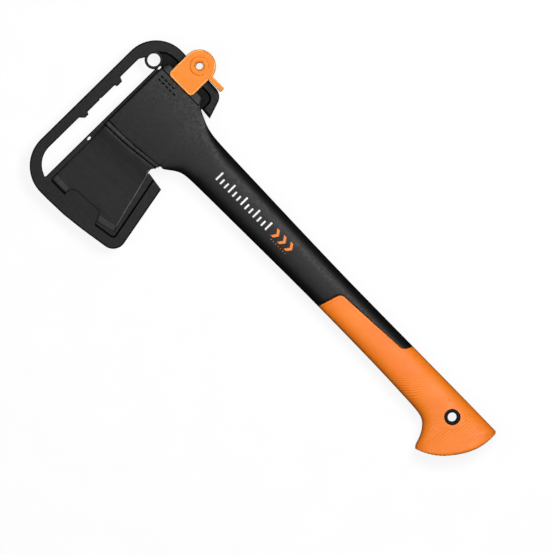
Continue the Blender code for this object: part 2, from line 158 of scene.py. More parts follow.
# Handle.
MOULDING_TOP_X = 0.0012
MOULDING_CROWN = 0.0018
MOULDING_ROUND = 0.0006
MOULDING_END_X = (0.0580, 0.0880)
BEAD_FALL = 0.00115
BEAD_WIDTH = [(0.0000, 0.0041), (0.0618, 0.0026), (0.0630, 0.0008)]
GROOVE_DEPTH = 0.00030
SEAM = 0.0014
BUTT_BULGE = 0.01207
BUTT_BULGE_POWER = 2.4
BUTT_DOME_POWER = 11.0
GRIP_WALL = 0.0033
SHAFT_WALL = 0.0032
CORE_START_X = 0.2440
CORE_STRAIGHT_X = 0.3700
CORE_END_X = 0.3920
PLUG_END_X = 0.4310
HANG_HOLE = (0.4055, -0.0016)
HANG_BOSS_RADIUS = 0.0072
HANG_BOSS_HALF = 0.0137
HANG_BORE = 0.0041
SHAFT_STATIONS = [
    (0.0030, 0.0600, 0.0010), (0.0604, 0.0700, 0.0004), (0.0710, 0.0900, 0.0010), (0.0920, 0.3400, 0.0020),
]
GRIP_START_X = 0.2495
KNOB_START_X = 0.3850
PLUG_CHAMFER = 0.0020
RIB_PITCH = 0.0025
RIB_DEPTH = 0.00056
RIB_STRENGTH_X = (0.2600, 0.3000, 0.3400, 0.3640, 0.3740, 0.4040, 0.4120, 0.4400)
RIB_STRENGTH = (1.0, 0.5, 1.0, 1.0, 0.2, 0.2, 0.7, 0.7)

EDGE_SIDE = [
    (0.0000, -0.0389), (0.0179, -0.0384), (0.0357, -0.0371), (0.0491, -0.0353), (0.0624, -0.0333),
    (0.0630, -0.0310), (0.0668, -0.0305), (0.0705, -0.0279), (0.0750, -0.0246), (0.0800, -0.0219),
    (0.0860, -0.0205),
    (0.1000, -0.0198), (0.1400, -0.0191), (0.2400, -0.0177), (0.3200, -0.0181), (0.3600, -0.0192),
    (0.3800, -0.0203), (0.3880, -0.0226), (0.3940, -0.0284), (0.3980, -0.0358), (0.4000, -0.0418),
    (0.4025, -0.0449),
]
POLL_SIDE = [
    (0.0000, 0.0315), (0.0510, 0.0315), (0.0550, 0.0297), (0.0600, 0.0274), (0.0660, 0.0249),
    (0.0720, 0.0232), (0.0800, 0.0220), (0.1000, 0.0211), (0.1400, 0.0201), (0.2000, 0.0187),
    (0.2600, 0.0178), (0.4415, 0.0173), (0.4433, 0.0157),
]
HALF_THICKNESS = [
    (0.0000, 0.0142), (0.0520, 0.0142), (0.0660, 0.0138), (0.0800, 0.0128), (0.1000, 0.0121),
    (0.2000, 0.0116), (0.2600, 0.0122), (0.3200, 0.0129), (0.3700, 0.0130), (0.4000, 0.0138),
    (0.4433, 0.0140),
]
SQUARENESS = [(0.0000, 8.0), (0.0560, 8.0), (0.0800, 4.4), (0.1000, 2.7), (0.3800, 2.5), (0.4433, 3.0)]
PARTING = [
    (0.2505, -0.0600, 0.0), (0.2513, -0.0179, 0.0), (0.2579, 0.0046, 0.0060), (0.2768, 0.0057, 0.0),
    (0.3318, 0.0092, 0.0060), (0.3361, 0.0174, 0.0), (0.3400, 0.0400, 0.0),
]
CUTTING_EDGE = [(0.0025, -0.1080), (0.0270, -0.1091), (0.0620, -0.1055), (0.0768, -0.1018)]
BLADE_HEEL = [
    (0.000, 0.0770), (0.151, 0.0739), (0.349, 0.0704), (0.593, 0.0664), (0.800, 0.0627), (0.876, 0.0611),
    (0.895, 0.0600), (0.913, 0.0596), (0.966, 0.0594), (0.978, 0.0601), (0.992, 0.0617), (1.000, 0.0622),
]
BLADE_HALF = [
    (0.000, 0.00015), (0.100, 0.0017), (0.300, 0.0036), (0.500, 0.0052), (0.700, 0.0073), (0.836, 0.0093),
    (0.927, 0.0110), (1.000, 0.0121),
]
SHEATH_OUTLINE = [
    (SHEATH_TOP, SHEATH_EDGE_SIDE, 0.0335), (0.0340, SHEATH_EDGE_SIDE, 0.2500), (0.0919, -0.1137, 0.0120),
    (0.0777, -0.0400, 0.0), (0.0580, -0.0400, 0.0), (0.0580, 0.0280, 0.0), (0.0648, 0.0280, 0.0),
    (0.0562, 0.0533, 0.0110), (0.0050, 0.0552, 0.0), (SHEATH_TOP, 0.0556, 0.0320),
]
OPENING_OUTLINE = [
    (-0.0187, 0.0230, 0.0040), (-0.0187, 0.0000, 0.0012), (-0.0147, -0.0018, 0.0012),
    (-0.0147, -0.0080, 0.0012), (-0.0170, -0.0090, 0.0), (-0.0170, -0.0250, 0.0), (-0.0176, -0.0258, 0.0),
    (-0.0176, -0.0272, 0.0), (-0.0170, -0.0280, 0.0), (-0.0170, -0.0429, 0.0), (-0.0147, -0.0437, 0.0012),
    (-0.0147, -0.0482, 0.0012), (-0.0187, -0.0518, 0.0012), (-0.0187, -0.1030, 0.0220),
    (-0.0027, -0.1107, 0.0), (RAIL_X, -0.1095, 0.0), (RAIL_X, 0.0320, 0.0), (-0.0120, 0.0340, 0.0),
]
BAY_OUTLINE = [
    (0.0045, 0.0250, 0.0), (0.0045, -0.1078, 0.0014), (0.0600, -0.1078, 0.0), (0.0795, -0.1045, 0.0024),
    (0.0662, -0.0390, 0.0), (0.0528, 0.0200, 0.0), (0.0528, 0.0449, 0.0065), (0.0060, 0.0455, 0.0),
    (-0.0005, 0.0448, 0.0), (-0.0050, 0.0431, 0.0), (-0.0084, 0.0405, 0.0), (-0.0115, 0.0375, 0.0),
    (-0.0070, 0.0360, 0.0), (0.0020, 0.0330, 0.0),
]
PAD_OUTLINE = [
    (0.0212, -0.1150, 0.0010), (0.0212, -0.0995, 0.0060), (0.0540, -0.0972, 0.0015),
    (0.0603, -0.1095, 0.0010), (0.0590, -0.1150, 0.0010),
]
SEAT_OUTLINE = [
    (0.0009, 0.0319, 0.0), (0.0009, -0.0388, 0.0), (0.0026, -0.0388, 0.0), (0.0026, -0.1081, 0.0),
    (0.0212, -0.1081, 0.0), (0.0215, -0.0990, 0.0060), (0.0538, -0.0967, 0.0015), (0.0586, -0.1058, 0.0),
    (0.0620, -0.1056, 0.0), (0.0771, -0.1017, 0.0), (0.0740, -0.0917, 0.0), (0.0704, -0.0783, 0.0),
    (0.0664, -0.0617, 0.0), (0.0629, -0.0475, 0.0), (0.0610, -0.0425, 0.0), (0.0900, -0.0468, 0.0),
    (0.0900, 0.0312, 0.0), (0.0530, 0.0312, 0.0), (0.0503, 0.0318, 0.0),
    (0.0466, 0.0392, 0.0), (0.0038, 0.0392, 0.0), (0.0022, 0.0319, 0.0),
]
HOOK_END_OUTLINE = [
    (0.0500, 0.0240, 0.0), (0.0700, 0.0240, 0.0), (0.0700, 0.0302, 0.0), (0.0529, 0.0316, 0.0),
]

# Marks on the handle.
TICK_X, TICK_Y, TICK_PITCH, TICK_WIDTH, TICK_COUNT = 0.1060, -0.0036, 0.0052, 0.0017, 13
LONG_TICK, SHORT_TICK = 0.0090, 0.0056
CHEVRON_X, CHEVRON_Y, CHEVRON_PITCH, CHEVRON_COUNT = 0.1760, -0.0036, 0.0085, 3
CHEVRON_OUTLINE = [
    (0.0, 0.0), (0.0030, 0.0), (0.0062, 0.0045), (0.0030, 0.0090), (0.0, 0.0090), (0.0032, 0.0045),
]
DOT_X, DOT_Y, DOT_PITCH, DOT_RADIUS, DOT_COUNT = 0.1790, -0.0058, 0.0030, 0.0004, 7
DASH_ROWS = [(0.0222, 5), (0.0258, 4)]
DASH_X, DASH_PITCH, DASH_SIZE = 0.0065, 0.0045, (0.0032, 0.0016)

ARC_STEP = math.radians(5)
CIRCLE_SIDES = 96
EDGE_STEPS = 5


# Curves and outlines.

def curve_through(points, x):
    """The y at x on a smooth curve through the points (Hermite, slopes from the neighbours)."""
    last = len(points) - 1
    i = min(max(sum(1 for p in points if p[0] <= x) - 1, 0), last - 1)

    def slope(k):
        before, after = points[max(k - 1, 0)], points[min(k + 1, last)]
        return (after[1] - before[1]) / (after[0] - before[0])

    (x0, y0), (x1, y1) = points[i], points[i + 1]
    span = x1 - x0
    t = min(max((x - x0) / span, 0.0), 1.0)
    rise = (3 - 2 * t) * t * t
    start, end = t * (1 - t) ** 2, t * t * (1 - t)
    return y0 + (y1 - y0) * rise + span * (slope(i) * start - slope(i + 1) * end)


def smooth_step(low, high, value):
    t = np.clip((value - low) / (high - low), 0.0, 1.0)
    return t * t * (3 - 2 * t)


def rounded(corners):
    """Outline through (x, y, radius) corners, each replaced by its arc."""
    outline = []
    for i, (x, y, radius) in enumerate(corners):
        corner = Vector((x, y))
        if radius == 0.0:
            outline.append(corner)
            continue
        before = (Vector(corners[i - 1][:2]) - corner).normalized()
        after = (Vector(corners[(i + 1) % len(corners)][:2]) - corner).normalized()
        half_angle = before.angle(after) / 2
        centre = corner + (before + after).normalized() * radius / math.sin(half_angle)
        first = corner + before * radius / math.tan(half_angle) - centre
        turn = after.angle_signed(before) - math.copysign(math.pi, after.angle_signed(before))
        count = max(2, math.ceil(abs(turn) / ARC_STEP))
        for k in range(count + 1):
            angle = turn * k / count
            cos, sin = math.cos(angle), math.sin(angle)
            outline.append(centre + Vector((first.x * cos - first.y * sin, first.x * sin + first.y * cos)))
    return outline


def circle(centre, radius, sides=CIRCLE_SIDES, squash=1.0):
    angles = [2 * math.pi * k / sides for k in range(sides)]
    across = radius * squash
    return [Vector((centre[0] + across * math.cos(a), centre[1] + radius * math.sin(a))) for a in angles]


def outset(outline, distance):
    """The outline moved outwards by a distance, corners mitred."""
    count = len(outline)
    area = sum(outline[i - 1].cross(outline[i]) for i in range(count))
    side = 1.0 if area > 0 else -1.0
    moved = []
    for i, point in enumerate(outline):
        before = (point - outline[i - 1]).normalized()
        after = (outline[(i + 1) % count] - point).normalized()
        first, second = Vector((before.y, -before.x)) * side, Vector((after.y, -after.x)) * side
        bisector = (first + second).normalized()
        moved.append(point + bisector * distance / max(bisector.dot(first), 0.4))
    return moved


# Mesh building.

def mesh_object(name, bm):
    bmesh.ops.recalc_face_normals(bm, faces=bm.faces)
    mesh = bpy.data.meshes.new(name)
    bm.to_mesh(mesh)
    bm.free()
    obj = bpy.data.objects.new(name, mesh)
    bpy.context.scene.collection.objects.link(obj)
    return obj


def layered(name, outline, levels):
    """Outline skinned through (height, outset) levels, with flat ends."""
    bm = bmesh.new()
    loops = []
    for height, distance in levels:
        ring = outset(outline, distance) if distance else outline
        loops.append([bm.verts.new((p.x, p.y, height)) for p in ring])
    count = len(outline)
    for first, second in zip(loops, loops[1:]):
        for i in range(count):
            j = (i + 1) % count
            bm.faces.new((first[i], first[j], second[j], second[i]))
    bm.faces.new(loops[0])
    bm.faces.new(loops[-1])
    return mesh_object(name, bm)


def through(name, outline):
    """A cutter that goes right through every piece."""
    return layered(name, outline, [(-THROUGH, 0.0), (THROUGH, 0.0)])


def eased(half, radius, groove=0.0):
    """Levels of a slab with rounded edges, and a fine mould line round its middle."""
    upper = []
    for k in range(EDGE_STEPS + 1):
        angle = math.pi / 2 * k / EDGE_STEPS
        upper.append((half - radius + radius * math.sin(angle), -radius + radius * math.cos(angle)))
    lower = [(-height, distance) for height, distance in reversed(upper)]
    middle = [(-0.0003, 0.0), (0.0, -groove), (0.0003, 0.0)] if groove else []
    return lower + middle + upper


def flared(half, radius):
    """Levels of a cutter that leaves rounded edges on a slab of that half thickness."""
    upper = []
    for k in range(EDGE_STEPS + 1):
        angle = math.pi / 2 * k / EDGE_STEPS
        upper.append((half - radius + radius * math.sin(angle), radius - radius * math.cos(angle)))
    upper.append((THROUGH, radius))
    lower = [(-height, distance) for height, distance in reversed(upper)]
    return lower + upper


def sloped(half, depth, width):
    """Levels of a cutter that leaves a gently sloping border on a slab of that half thickness."""
    upper = [(half - depth, 0.0), (half, width), (THROUGH, width)]
    return [(-height, distance) for height, distance in reversed(upper)] + upper


def tapered(low, high, inner, outer):
    """Levels of a cutter whose walls lean outwards between two heights."""
    upper = [(low, inner), (high, outer), (THROUGH, outer)]
    return [(-height, distance) for height, distance in reversed(upper)] + upper


def skin(name, grid):
    """Skin over a grid of rings, each end closed from its upper to its lower side."""
    count = grid.shape[1]
    bm = bmesh.new()
    verts = [[bm.verts.new(point) for point in ring] for ring in grid]
    for first, second in zip(verts, verts[1:]):
        for i in range(count):
            j = (i + 1) % count
            bm.faces.new((first[i], first[j], second[j], second[i]))
    for loop in (verts[0], verts[-1]):
        for i in range(count // 2):
            bm.faces.new(list(dict.fromkeys((loop[i], loop[i + 1], loop[-i - 1], loop[-i]))))
    return mesh_object(name, bm)


def combine(obj, operation, other):
    modifier = obj.modifiers.new(other.name, "BOOLEAN")
    modifier.operation = operation
    modifier.solver = "EXACT"
    modifier.object = other


def settle(obj):
    """Makes the modified shape the object's own mesh, and removes the shapes it was cut with."""
    helpers = [modifier.object for modifier in obj.modifiers if modifier.type == "BOOLEAN"]
    bpy.context.view_layer.update()
    evaluated = obj.evaluated_get(bpy.context.evaluated_depsgraph_get())
    mesh = bpy.data.meshes.new_from_object(evaluated)
    obj.modifiers.clear()
    obj.data = mesh
    mesh.name = obj.name
    for helper in helpers:
        bpy.data.objects.remove(helper, do_unlink=True)
    return obj


def set_materials(obj, *materials):
    obj.data.materials.clear()
    for material in materials:
        obj.data.materials.append(material)


def finish_piece(obj, body, material, location=TO_ROW, sharp=28, weighted=True):
    obj.location = location
    if not obj.data.materials:
        obj.data.materials.append(material)
    obj.data.shade_smooth()
    obj.data.set_sharp_from_angle(angle=math.radians(sharp))
    if weighted:
        modifier = obj.modifiers.new("weighted normals", "WEIGHTED_NORMAL")
        modifier.keep_sharp = True
        modifier.weight = 80
    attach(obj, body)
    return obj


# Handle surface.

def straight_through(points, x):
    return float(np.interp(x, [p[0] for p in points], [p[1] for p in points]))


def station(x, inset=0.0, straight_from=1.0):
    """(low, high, half, power, bulge) of a section square to x."""
    shape_x = min(x, straight_from)
    low = (x, curve_through(EDGE_SIDE, shape_x) + inset)
    high = (x, curve_through(POLL_SIDE, shape_x) - inset)
    half = straight_through(HALF_THICKNESS, shape_x) - inset
    return low, high, half, straight_through(SQUARENESS, shape_x), 0.0


def knob_stations(count):
    """Sections that fan out over the flared knob."""
    low_x = [(0.0, KNOB_START_X), (0.2, 0.3900), (0.4, 0.3940), (0.6, 0.3980), (0.8, 0.4003), (1.0, 0.4025)]
    high_x = [(0.0, KNOB_START_X), (0.2, 0.3930), (0.4, 0.4010), (0.6, 0.4110), (0.8, 0.4240), (1.0, 0.4433)]
    stations = []
    for k in range(1, count + 1):
        share = k / count
        low, high = curve_through(low_x, share), curve_through(high_x, share)
        half = straight_through(HALF_THICKNESS, high)
        ends = (low, curve_through(EDGE_SIDE, low)), (high, curve_through(POLL_SIDE, high))
        stations.append((*ends, half, 2.6 + 0.4 * share, 0.0))
    return stations


def butt_stations(count):
    """Sections that dome over the butt, with a crisp edge round it."""
    low, high, half = EDGE_SIDE[-1], POLL_SIDE[-1], HALF_THICKNESS[-1][1]
    stations = []
    for k in range(1, count + 1):
        reach = 1 - (1 - k / count) ** 2.2
        shrink = max(1 - reach**BUTT_DOME_POWER, 0.01) ** (1 / BUTT_DOME_POWER)
        stations.append((low, high, half * shrink, 3.0, BUTT_BULGE * reach))
    return stations


def top_end_stations(radius=0.0014, count=6):
    """Rounded end of the moulding at the top of the head."""
    stations = []
    for k in range(count):
        angle = math.pi / 2 * k / count
        low, high, half, power, bulge = station(MOULDING_TOP_X + radius * (1 - math.cos(angle)))
        inset = radius * (1 - math.sin(angle))
        low, high = (low[0], low[1] + inset), (high[0], high[1] - inset)
        stations.append((low, high, half - inset, power, bulge))
    return stations


def spread(first, last, step):
    return np.linspace(first, last, max(2, round((last - first) / step) + 1))


def surface(stations, sides):
    """Grid of points with one closed ring for each station."""
    share = 0.5 - 0.5 * np.cos(np.pi * np.arange(sides + 1) / sides)
    rings = []
    for low, high, half, power, bulge in stations:
        across = np.subtract(high, low)
        outward = np.array((across[1], -across[0])) / np.linalg.norm(across)
        rise = bulge * (1 - np.abs(2 * share - 1) ** BUTT_BULGE_POWER)
        plan = np.add(low, share[:, None] * across) + rise[:, None] * outward
        height = profile(low[0], share, np.linalg.norm(across), half, power)
        height[[0, -1]] = 0.0
        top = np.column_stack((plan, height))
        rings.append(np.vstack((top, top[-2:0:-1] * (1, 1, -1))))
    return np.array(rings)


def profile(x, share, width, half, power):
    """Height across a section: a flat-cheeked moulding at the head, a superellipse along the handle."""
    off_middle = np.abs(2 * share - 1)
    handle = half * (1 - off_middle**power) ** (1 / power)
    from_edge = np.minimum(share, 1 - share) * width
    corner = MOULDING_ROUND - np.clip(from_edge, 0, MOULDING_ROUND)
    corner = MOULDING_ROUND - np.sqrt(MOULDING_ROUND**2 - corner**2)
    moulding = half - MOULDING_CROWN * off_middle**2 - corner - cheek_recess(x, share * width)
    blend = smooth_step(*MOULDING_END_X, x)
    return moulding * (1 - blend) + handle * blend


def cheek_recess(x, from_blade):
    """How far the bead along the blade lies below the cheek, and the groove on the bead's other side."""
    width = straight_through(BEAD_WIDTH, x)
    across = from_blade / width
    fall = np.where(across < 1, 1 - (1 - across) ** 2, 0.0)
    groove = 1 - smooth_step(0.0, 0.0006, np.abs(from_blade - width))
    groove *= 1 - smooth_step(0.0615, 0.0630, x)
    return BEAD_FALL * fall + GROOVE_DEPTH * groove


def outward_normals(grid):
    along = np.gradient(grid, axis=0)
    around = np.roll(grid, -1, axis=1) - np.roll(grid, 1, axis=1)
    normals = np.cross(around, along)
    normals /= np.maximum(np.linalg.norm(normals, axis=2, keepdims=True), 1e-12)
    return normals


def rib_relief(grid):
    """How far below the outer surface each point of the grip lies, for its fine slanted ribs."""
    x, y = grid[..., 0], grid[..., 1]
    slant = 1.0 - 0.86 * smooth_step(0.3350, 0.4050, x)
    wave = 0.5 + 0.5 * np.cos(2 * np.pi * (x - slant * y) / RIB_PITCH)
    from_parting = smooth_step(0.0012, 0.0035, parting_distance(x, y))
    from_butt = 1 - smooth_step(0.4340, 0.4400, x + 0.25 * np.abs(y))
    from_ring = smooth_step(0.0095, 0.0125, np.hypot(x - HANG_HOLE[0], y - HANG_HOLE[1]))
    on_cheek = smooth_step(0.0050, 0.0095, np.abs(grid[..., 2]))
    strength = np.interp(x, RIB_STRENGTH_X, RIB_STRENGTH)
    return RIB_DEPTH * strength * (1 - wave**1.5) * from_parting * from_butt * from_ring * on_cheek


def parting_distance(x, y):
    """Distance in plan from the line where the grip meets the bare shaft."""
    line = rounded(PARTING)
    nearest = np.full(np.shape(x), 1.0)
    for start, end in zip(line, line[1:]):
        run = end - start
        share = np.clip(((x - start.x) * run.x + (y - start.y) * run.y) / run.length_squared, 0, 1)
        nearest = np.minimum(nearest, np.hypot(x - start.x - share * run.x, y - start.y - share * run.y))
    return nearest


def ease_parting(obj, depth=0.00045, width=0.0009, last_x=0.3450, cheek_height=0.0060):
    """Rounds the lip where the grip and the bare shaft meet."""
    points = np.zeros(len(obj.data.vertices) * 3)
    obj.data.vertices.foreach_get("co", points)
    points = points.reshape(-1, 3)
    near = np.clip(1 - parting_distance(points[:, 0], points[:, 1]) / width, 0, 1) ** 2
    near[points[:, 0] > last_x] = 0.0
    points[:, 2] -= np.clip(points[:, 2] / cheek_height, -1, 1) * near * depth
    obj.data.vertices.foreach_set("co", points.ravel())
    obj.data.update()


# Materials.

class Nodes:
    """A short way to write a material's nodes."""

    def __init__(self, name):
        self.material = bpy.data.materials.new(name)
        self.material.use_nodes = True
        self.tree = self.material.node_tree
        self.shader = self.tree.nodes["Principled BSDF"]
        self.place = self.add("ShaderNodeTexCoord").outputs["Object"]

    def add(self, kind, **settings):
        node = self.tree.nodes.new(kind)
        for key, value in settings.items():
            setattr(node, key, value)
        return node

    def link(self, source, target):
        self.tree.links.new(source, target)

    def stretched(self, scale):
        node = self.add("ShaderNodeMapping")
        node.inputs["Scale"].default_value = scale
        self.link(self.place, node.inputs["Vector"])
        return node.outputs["Vector"]

    def noise(self, scale, detail=3.0, vector=None):
        node = self.add("ShaderNodeTexNoise")
        node.inputs["Scale"].default_value = scale
        node.inputs["Detail"].default_value = detail
        self.link(vector or self.place, node.inputs["Vector"])
        return node.outputs["Fac"]

    def ranged(self, value, low, high, start=0.3, end=0.7):
        node = self.add("ShaderNodeMapRange")
        node.inputs["From Min"].default_value = start
        node.inputs["From Max"].default_value = end
        node.inputs["To Min"].default_value = low
        node.inputs["To Max"].default_value = high
        self.link(value, node.inputs["Value"])
        return node.outputs["Result"]

    def mixed(self, factor, first, second):
        node = self.add("ShaderNodeMix", data_type="RGBA")
        node.inputs["A"].default_value = (*first, 1.0)
        node.inputs["B"].default_value = (*second, 1.0)
        self.link(factor, node.inputs["Factor"])
        return node.outputs["Result"]

    def covered(self, factor, under, colour):
        """A colour laid over another output, as far as the factor says."""
        node = self.add("ShaderNodeMix", data_type="RGBA")
        node.inputs["B"].default_value = (*colour, 1.0)
        self.link(factor, node.inputs["Factor"])
        self.link(under, node.inputs["A"])
        return node.outputs["Result"]

    def combined(self, operation, first, second):
        node = self.add("ShaderNodeMath", operation=operation)
        self.link(first, node.inputs[0])
        if isinstance(second, float):
            node.inputs[1].default_value = second
        else:
            self.link(second, node.inputs[1])
        return node.outputs["Value"]

    def bump(self, height, distance, strength, under=None):
        node = self.add("ShaderNodeBump")
        node.inputs["Distance"].default_value = distance
        node.inputs["Strength"].default_value = strength
        self.link(height, node.inputs["Height"])
        if under:
            self.link(under, node.inputs["Normal"])
        return node.outputs["Normal"]

    def edges(self):
        """High on convex edges, where handling wears a part; on the black mouldings this also paints
        highlight lines along the edges.
        """
        pointiness = self.add("ShaderNodeNewGeometry").outputs["Pointiness"]
        return self.ranged(pointiness, 0.0, 1.0, 0.52, 0.60)

    def set(self, **values):
        for key, value in values.items():
            self.shader.inputs[key.replace("_", " ")].default_value = value


def grey(level):
    return (level, level, level)


def moulded_black(name, dark, light, roughness, grain, gloss):
    """Fine-grained black moulding: clouded colour, paler scuffed edges that also serve as painted highlight
    lines, a spark-eroded grain.
    """
    nodes = Nodes(name)
    cloud = nodes.noise(55.0, 4.0)
    # Paler edges: partly scuffs, partly a painted highlight along the edges.
    worn = nodes.combined("MULTIPLY", nodes.edges(), nodes.ranged(nodes.noise(260.0), 0.0, 1.0, 0.35, 0.65))
    tone = nodes.combined("ADD", nodes.ranged(cloud, 0.0, 0.55), nodes.combined("MULTIPLY", worn, 0.9))
    nodes.link(nodes.mixed(tone, dark, light), nodes.shader.inputs["Base Color"])
    rough = nodes.ranged(nodes.noise(420.0, 2.0), roughness - 0.05, roughness + 0.07)
    nodes.link(rough, nodes.shader.inputs["Roughness"])
    fine = nodes.bump(nodes.noise(grain, 2.0), 0.00006, 0.55)
    nodes.link(nodes.bump(nodes.noise(90.0, 2.0), 0.00012, 0.25, fine), nodes.shader.inputs["Normal"])
    nodes.set(Specular_IOR_Level=gloss)
    return nodes.material


def soft_orange(name, base, deep, pale, roughness, grain, specular=0.3, sheen=0.0):
    """Orange polymer with slow colour drift, faint pale scuffs and a fine matt grain."""
    nodes = Nodes(name)
    drift = nodes.ranged(nodes.noise(38.0, 4.0), 0.0, 1.0)
    body = nodes.mixed(drift, base, deep)
    patches = nodes.ranged(nodes.noise(600.0, 3.0), 0.0, 0.8, 0.45, 0.7)
    scuff = nodes.combined("MULTIPLY", nodes.edges(), patches)
    nodes.link(nodes.covered(scuff, body, pale), nodes.shader.inputs["Base Color"])
    rough = nodes.ranged(nodes.noise(300.0, 2.0), roughness - 0.05, roughness + 0.06)
    nodes.link(rough, nodes.shader.inputs["Roughness"])
    fine = nodes.bump(nodes.noise(grain, 2.0), 0.00005, 0.5)
    nodes.link(nodes.bump(nodes.noise(120.0, 2.0), 0.00010, 0.2, fine), nodes.shader.inputs["Normal"])
    nodes.set(Specular_IOR_Level=specular, Sheen_Weight=sheen)
    return nodes.material


def coated_steel(name, dark=(0.007, 0.007, 0.0072), light=(0.011, 0.011, 0.0112)):
    """Dark low-friction coating: faint mottling, long rubbed streaks and bare edges."""
    nodes = Nodes(name)
    mottle = nodes.ranged(nodes.noise(140.0, 5.0), 0.0, 1.0)
    streak = nodes.noise(1.0, 3.0, nodes.stretched((60.0, 900.0, 60.0)))
    body = nodes.mixed(mottle, dark, light)
    worn = nodes.combined("MULTIPLY", nodes.edges(), nodes.ranged(nodes.noise(500.0), 0.0, 0.7, 0.4, 0.65))
    nodes.link(nodes.covered(worn, body, grey(0.05)), nodes.shader.inputs["Base Color"])
    nodes.link(nodes.ranged(streak, 0.40, 0.54), nodes.shader.inputs["Roughness"])
    fine = nodes.bump(nodes.noise(2600.0, 2.0), 0.00003, 0.35)
    nodes.link(nodes.bump(nodes.noise(180.0, 3.0), 0.00008, 0.25, fine), nodes.shader.inputs["Normal"])
    nodes.set(Specular_IOR_Level=0.18)
    return nodes.material


def ground_steel(name, bright=(0.036, 0.034, 0.0325), dull=(0.026, 0.0245, 0.024), metallic=0.75):
    """Bare ground bevel: fine grinding lines across it, a dull protective film in patches."""
    nodes = Nodes(name)
    lines = nodes.noise(1.0, 4.0, nodes.stretched((5200.0, 130.0, 130.0)))
    film = nodes.ranged(nodes.noise(160.0, 3.0), 0.0, 1.0)
    nodes.link(nodes.mixed(film, bright, dull), nodes.shader.inputs["Base Color"])
    nodes.link(nodes.ranged(lines, 0.34, 0.52), nodes.shader.inputs["Roughness"])
    nodes.link(nodes.bump(lines, 0.00004, 0.6), nodes.shader.inputs["Normal"])
    nodes.set(Metallic=metallic)
    return nodes.material


def printed_ink(name, colour, thin, gloss=0.3):
    """Screen-printed ink, slightly thinner and rubbed in places."""
    nodes = Nodes(name)
    rubbed = nodes.ranged(nodes.noise(900.0, 4.0), 0.0, 1.0, 0.45, 0.75)
    nodes.link(nodes.mixed(rubbed, colour, thin), nodes.shader.inputs["Base Color"])
    nodes.link(nodes.ranged(nodes.noise(1500.0), 0.45, 0.6), nodes.shader.inputs["Roughness"])
    nodes.link(nodes.bump(nodes.noise(3000.0), 0.00002, 0.4), nodes.shader.inputs["Normal"])
    nodes.set(Specular_IOR_Level=gloss)
    return nodes.material


# Pieces.

def blade_y(x, share):
    edge, joint = curve_through(CUTTING_EDGE, x), curve_through(EDGE_SIDE, min(x, 0.0624)) - SEAM
    return edge + (joint - edge) * share


def head_ring(x_range, y_of, half, sides=HEAD_SIDES, power=NECK_SQUARENESS):
    share = 0.5 - 0.5 * np.cos(np.pi * np.arange(sides + 1) / sides)
    x = x_range[0] + (x_range[1] - x_range[0]) * share
    height = half * (1 - np.abs(2 * share - 1) ** power) ** (1 / power)
    top = np.column_stack((x, [y_of(value) for value in x], height))
    return np.vstack((top, top[-2:0:-1] * (1, 1, -1)))


def blade_ring(x_range, y_of, half):
    """Ring of the blade: flat cheeks with narrow eased borders along the top and the heel."""
    distances = [distance for distance, _ in BLADE_BORDER]
    count = HEAD_SIDES + 3 - 2 * len(distances)
    middle = np.linspace(x_range[0] + distances[-1], x_range[1] - distances[-1], count)
    first = [x_range[0] + distance for distance in distances[:-1]]
    last = [x_range[1] - distance for distance in reversed(distances[:-1])]
    x = np.concatenate((first, middle, last))
    from_side = np.minimum(x - x_range[0], x_range[1] - x)
    drop = np.interp(from_side, distances, [drop for _, drop in BLADE_BORDER])
    height = np.maximum(half - drop, half * 0.3)
    height[[0, -1]] = 0.0
    top = np.column_stack((x, [y_of(value) for value in x], height))
    return np.vstack((top, top[-2:0:-1] * (1, 1, -1)))


def build_head(coated, ground, rubbed, poll):
    shares = [0.0, 0.008, 0.035, 0.070, GROUND_SHARE - 0.004, GROUND_SHARE + 0.004]
    shares += list(spread(0.120, 0.982, 0.022)) + [0.996, 1.0]
    rings = []
    for share in shares:
        half = straight_through(BLADE_HALF, share)
        half -= straight_through(BLADE_SEAM_DROP, share)
        x_range = (BLADE_TOP_X, curve_through(BLADE_HEEL, share))
        rings.append(blade_ring(x_range, lambda x, s=share: blade_y(x, s), half))
    shoulder_x = (BLADE_TOP_X - 0.0007, BLADE_HEEL[-1][1] - 0.0003)
    for sink in (0.0, 0.0020):
        rings.append(head_ring(shoulder_x, lambda x, d=sink: blade_y(x, 1.0) + d, SHOULDER_HALF))
    rings += [head_ring(NECK_X, lambda x, y=y: y, NECK_HALF) for y in (-0.0300, 0.0, 0.0300)]
    rings += [head_ring(POLL_NECK_X, lambda x, y=y: y, POLL_NECK_HALF) for y in (0.0302, POLL_Y[0])]
    rings += poll_rings()
    head = skin("axe_head_steel", np.array(rings))
    # Index 0 is the coating, 1 the ground bevel, 2 a painted highlight along the heel, 3 a lighter coating
    # painted as highlight on the poll and along the seam.
    set_materials(head, coated, ground, rubbed, poll)
    seam_strip = len(shares) - 3
    for polygon in head.data.polygons:
        ring, column = divmod(polygon.index, 2 * HEAD_SIDES)
        from_heel = abs(column - HEAD_SIDES + 0.5)
        on_seam = ring == seam_strip and 3 < from_heel < HEAD_SIDES - 4
        if ring < GROUND_RINGS:
            polygon.material_index = 1
        # Index 2: a painted highlight, a light dull grey strip along the blade's heel edge.
        elif ring < seam_strip - 2 and 1 < from_heel < 3:
            polygon.material_index = 2
        # Index 3: the lighter coating, a painted highlight on the poll and on the strip along the seam.
        elif on_seam or polygon.center.y > POLL_Y[0]:
            polygon.material_index = 3
    finish_piece(head, ROOT_BODY, coated, sharp=35, weighted=False)
    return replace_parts(head, "axe_head")


def poll_rings():
    """Poll from the handle to its striking face: tapered sides and eased edges."""
    low, high = POLL_Y
    rings = []
    for y, rounding in ((low, 0.0006), (low + 0.0005, 0.0), (high - POLL_EDGE, 0.0)):
        rings.append(poll_ring(y, rounding))
    for k in range(1, EDGE_STEPS + 1):
        angle = math.pi / 2 * k / EDGE_STEPS
        rings.append(poll_ring(high - POLL_EDGE * (1 - math.sin(angle)), POLL_EDGE * (1 - math.cos(angle))))
    return rings


